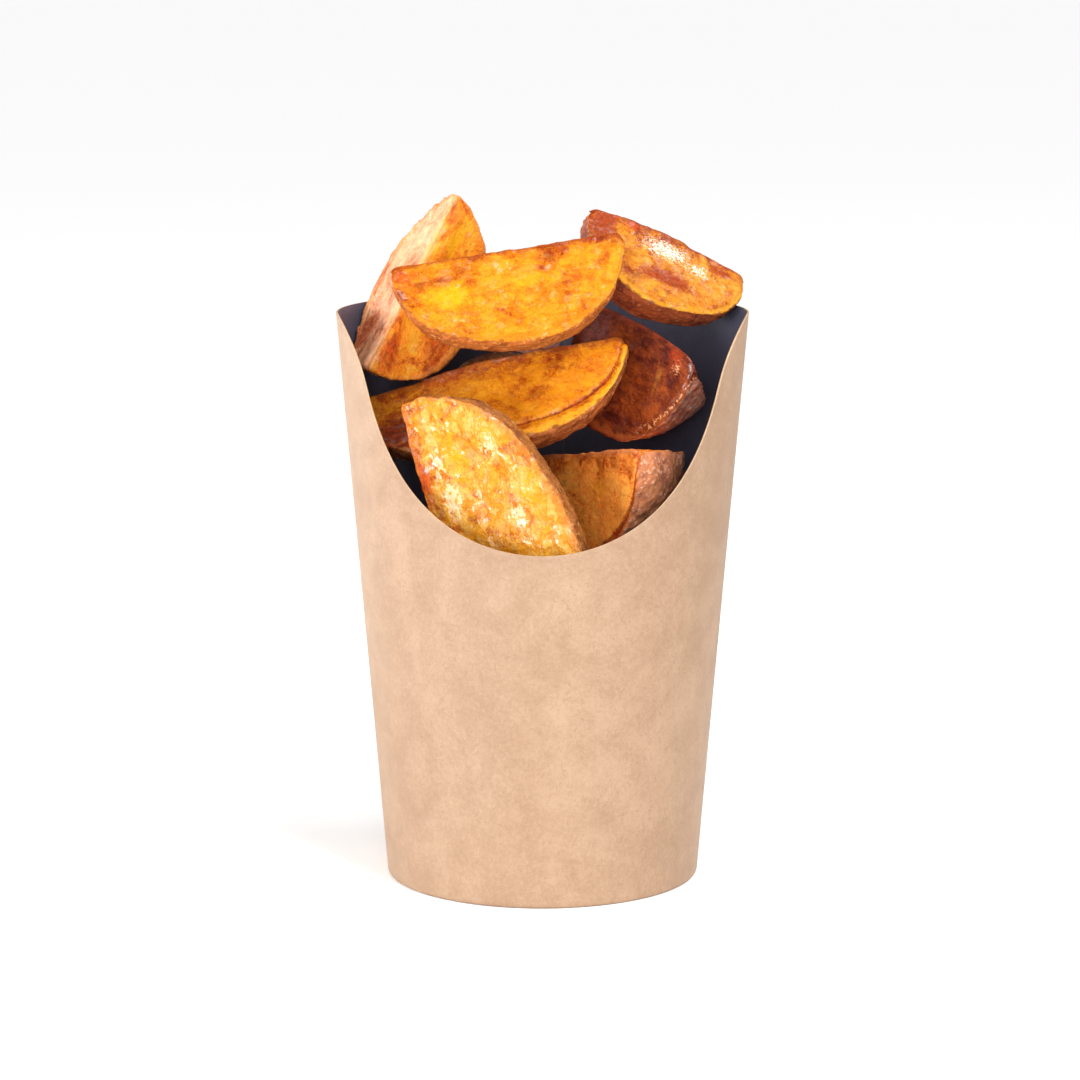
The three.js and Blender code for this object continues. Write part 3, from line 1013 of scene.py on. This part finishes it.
def add_wall(cup, colours):
    """Cuts the sheet, rolls it and gives it the board's thickness."""
    rows = WALL_ROWS + FOLD_ROWS + HEM_ROWS
    overlap = cup.lap / 2 / cup.foot_radius
    bpy.ops.object.select_all(action="DESELECT")
    bpy.ops.mesh.primitive_grid_add(x_subdivisions=AROUND, y_subdivisions=rows, size=1)
    sheet = name_new("rolled_cup")
    notch_x = -0.5 + 2 * overlap / (2 * math.pi + 2 * overlap)
    notch_y = -0.5 + (HEM_ROWS + FOLD_ROWS + 1) / rows
    pick(sheet, "FACE", lambda face: face.center.x < notch_x and face.center.y < notch_y)
    bpy.ops.mesh.delete(type="FACE")
    bpy.ops.object.mode_set(mode="OBJECT")
    roll_sheet(sheet, cup, overlap)
    darker = tuple(share * 0.7 for share in colours.cut_edge)
    outside = paper_material("kraft outside", colours.kraft, colours.kraft_dark, 0.58, 0.6)
    inside = coated_material("black inside", tuple(colours.coating))
    thicken(sheet, cup, outside, inside, paper_material("cut edge", colours.cut_edge, darker, 0.8, 0.3))
    modify(
        sheet, "BEVEL", width=EDGE_ROUND, segments=2, limit_method="ANGLE", angle_limit=math.radians(50)
    )
    smooth_flats(sheet)
    keep(sheet, ["cup_wall"])


def skirt_size(z, inset, cup):
    """Half the width and half the depth of the cone at a height, inset from its outer face."""
    right, front = wall_point(np.array([math.pi / 2, 0]), np.array([z, z]), inset, cup)
    return abs(right[0]), abs(front[1])


def add_base(cup, colours):
    """The base: a disc of board with its edge bent down to a skirt."""
    gap = cup.board + cup.fit
    top = cup.base_recess + cup.board
    wide, deep = skirt_size(top, gap, cup)
    low_wide, low_deep = skirt_size(gap, gap, cup)
    bpy.ops.object.select_all(action="DESELECT")
    bpy.ops.mesh.primitive_circle_add(vertices=192, radius=1, fill_type="NGON", location=(0, 0, top))
    base = name_new("recessed_base")
    base.scale = (wide, deep, 1)
    settle(base)
    bpy.ops.object.mode_set(mode="EDIT")
    bpy.ops.mesh.select_all(action="SELECT")
    for width in BASE_RINGS:
        bpy.ops.mesh.inset(thickness=width)
    bpy.ops.object.mode_set(mode="OBJECT")

    def on_outline(edge):
        ends = [base.data.vertices[index].co for index in edge.vertices]
        return all(math.hypot(end.x / wide, end.y / deep) > 0.995 and end.z > top / 2 for end in ends)

    pick(base, "EDGE", on_outline)
    bpy.ops.mesh.extrude_region_move(TRANSFORM_OT_translate={"value": (0, 0, gap - top)})
    bpy.ops.transform.resize(
        value=(low_wide / wide, low_deep / deep, 1), center_override=(0, 0, gap)
    )
    bpy.ops.object.mode_set(mode="OBJECT")
    pick(base, "EDGE", on_outline)
    bpy.ops.mesh.bevel(offset=SKIRT_BEND, segments=5, profile=0.5)
    bpy.ops.mesh.select_all(action="SELECT")
    bpy.ops.mesh.normals_make_consistent(inside=False)
    bpy.ops.object.mode_set(mode="OBJECT")
    above = coated_material("black base", tuple(colours.coating))
    below = paper_material("kraft base", colours.kraft, colours.kraft_dark, 0.74, 0.3)
    thicken(base, cup, above, below)
    smooth_flats(base)
    keep(base, ["cup_base"])


# ---------------------------------------------------------------- the stage
FLOOR_SIZE = 40
FLOOR_DROP = 0.05 * MM  # keeps the floor just clear of the foot
HEAP = Vector((0, 0, 0.11))  # what the softboxes are turned to
AIM_ASIDE = -0.6 * MM
SENSOR = 36  # millimetres
# Suns have an azimuth from the front towards the right, an elevation, a strength and a spread. Angles are
# in degrees.
SUNS = {"key": (40, 50, 1.85, 25), "fill_left": (-60, 30, 0.4, 50)}
# Softboxes have a place and a size in metres, and a power in watts.
SOFTBOXES = {
    "glare": ((0.69, -0.07, 0.83), 0.35, 3),
    "above": ((-0.12, -0.45, 1.0), 0.3, 1.1),
    "front": ((-0.16, -1.2, 0.44), 0.7, 6.8),
    "front_right": ((0.6, -0.85, 0.4), 0.5, 2.3),
    "front_left": ((-0.72, -0.72, 0.2), 0.32, 5.5),
    "back_left": ((-0.9, 0.3, 0.16), 0.6, 8),
}


def add_softbox(name, place, size, power):
    """A square soft light at a place, turned to the heap."""
    bpy.ops.object.light_add(type="AREA", location=place)
    box = name_new(name)
    box.rotation_euler = (HEAP - Vector(place)).to_track_quat("-Z", "Y").to_euler()
    box.data.size = size
    box.data.energy = power
    box.visible_camera = False


def add_sun(name, azimuth, elevation, strength, spread):
    """A soft light from far away."""
    turn, rise = math.radians(azimuth), math.radians(elevation)
    level = math.cos(rise)
    towards = Vector((math.sin(turn) * level, -math.cos(turn) * level, math.sin(rise)))
    bpy.ops.object.light_add(type="SUN", location=towards)
    sun = name_new(name)
    sun.rotation_euler = towards.to_track_quat("Z", "Y").to_euler()
    sun.data.energy = strength
    sun.data.angle = math.radians(spread)


def floor_material(colour):
    """The plain floor, which is clear from below so that the foot can be looked at."""
    material, mix, shader = new_material("plain floor")
    shader.inputs["Base Color"].default_value = (*colour, 1)
    shader.inputs["Roughness"].default_value = 0.9
    shader.inputs["Specular IOR Level"].default_value = 0.0
    clear = mix.node("ShaderNodeBsdfTransparent")
    below = mix.node("ShaderNodeNewGeometry").outputs["Backfacing"]
    mixed = mix.node("ShaderNodeMixShader", {0: below, 1: shader.outputs[0], 2: clear.outputs[0]})
    mix.tree.links.new(mixed.outputs[0], mix.tree.nodes["Material Output"].inputs["Surface"])
    return material


# ---------------------------------------------------------------- operators
class POTATO_OT_cup_wall(bpy.types.Operator):
    """Adds the rolled wall of the cup"""

    bl_idname = "potato.cup_wall"
    bl_label = "Rolled cup wall"

    def execute(self, context):
        add_wall(context.scene.cup_sizes, context.scene.cup_colours)
        return {"FINISHED"}


class POTATO_OT_cup_base(bpy.types.Operator):
    """Adds the recessed base of the cup"""

    bl_idname = "potato.cup_base"
    bl_label = "Recessed cup base"

    def execute(self, context):
        add_base(context.scene.cup_sizes, context.scene.cup_colours)
        return {"FINISHED"}


class POTATO_OT_front_wedges(bpy.types.Operator):
    """Adds the wedges that show from the front"""

    bl_idname = "potato.front_wedges"
    bl_label = "Front wedges"

    def execute(self, context):
        for number, (name, shape) in enumerate(FRONT.items()):
            add_wedge(name, shape, ROASTS[name], context.scene.wedge_make.fine, number + 1)
        return {"FINISHED"}


class POTATO_OT_buried_wedges(bpy.types.Operator):
    """Adds the wedges at the back of the heap and under the ones that show"""

    bl_idname = "potato.buried_wedges"
    bl_label = "Back and buried wedges"

    def execute(self, context):
        shapes = dict(BURIED)
        for number, (heading, length) in enumerate(STANDING):
            shapes[f"wedge_low_{number + 1}"] = standing_cut(heading, length)
        for number, (name, shape) in enumerate(shapes.items()):
            add_wedge(name, shape, PLAIN_ROAST, context.scene.wedge_make.coarse, number + 20)
        return {"FINISHED"}


class POTATO_OT_stage(bpy.types.Operator):
    """Sets up the floor, the soft lights and the camera"""

    bl_idname = "potato.stage"
    bl_label = "Stage"

    def execute(self, context):
        scene = context.scene
        setup = scene.stage_setup
        bpy.ops.mesh.primitive_plane_add(size=FLOOR_SIZE, location=(0, 0, -FLOOR_DROP))
        floor = name_new("floor")
        floor.data.materials.append(floor_material(setup.floor_colour))
        for name, settings in SUNS.items():
            add_sun(name, *settings)
        for name, settings in SOFTBOXES.items():
            add_softbox(name, *settings)
        world = bpy.data.worlds.new("white surroundings")
        world.use_nodes = True
        background = world.node_tree.nodes["Background"].inputs
        background["Color"].default_value = (1, 1, 1, 1)
        background["Strength"].default_value = setup.sky
        scene.world = world
        scene.view_settings.view_transform = "Standard"
        place = Vector((0, -setup.distance, setup.camera_height))
        look = Vector((AIM_ASIDE, 0, setup.aim_height)) - place
        bpy.ops.object.camera_add(location=place, rotation=look.to_track_quat("-Z", "Y").to_euler())
        camera = name_new("photo_camera")
        camera.data.lens = setup.lens
        camera.data.sensor_width = SENSOR
        camera.data.clip_start = 0.05
        camera.data.clip_end = 60
        scene.camera = camera
        return {"FINISHED"}


class POTATO_PT_panel(bpy.types.Panel):
    """The sidebar panel with every step of the model"""

    bl_idname = "POTATO_PT_panel"
    bl_label = "Potato wedges"
    bl_space_type = "VIEW_3D"
    bl_region_type = "UI"
    bl_category = "Potato wedges"

    def draw(self, context):
        column = self.layout.column(align=True)
        for operator in OPERATORS:
            column.operator(operator.bl_idname)
        for owner in GROUPS:
            settings = getattr(context.scene, owner)
            box = self.layout.box()
            box.label(text=settings.bl_rna.description)
            for name in settings.__annotations__:
                box.prop(settings, name)


OPERATORS = (
    POTATO_OT_cup_wall,
    POTATO_OT_cup_base,
    POTATO_OT_front_wedges,
    POTATO_OT_buried_wedges,
    POTATO_OT_stage,
)
GROUPS = {
    "cup_sizes": CupSizes,
    "cup_colours": CupColours,
    "roast_colours": RoastColours,
    "wedge_make": WedgeMake,
    "stage_setup": StageSetup,
}


def register():
    """Registers the settings, the operators and the panel."""
    for owner, group in GROUPS.items():
        bpy.utils.register_class(group)
        setattr(bpy.types.Scene, owner, PointerProperty(type=group))
    for each in (*OPERATORS, POTATO_PT_panel):
        bpy.utils.register_class(each)


def unregister():
    """Takes away what register added."""
    for each in (POTATO_PT_panel, *reversed(OPERATORS)):
        bpy.utils.unregister_class(each)
    for owner, group in GROUPS.items():
        delattr(bpy.types.Scene, owner)
        bpy.utils.unregister_class(group)


def main():
    """Builds the whole model with its operators."""
    register()
    bpy.ops.potato.cup_wall()
    bpy.ops.potato.cup_base()
    bpy.ops.potato.front_wedges()
    bpy.ops.potato.buried_wedges()
    bpy.ops.potato.stage()


if __name__ == "__main__":
    main()
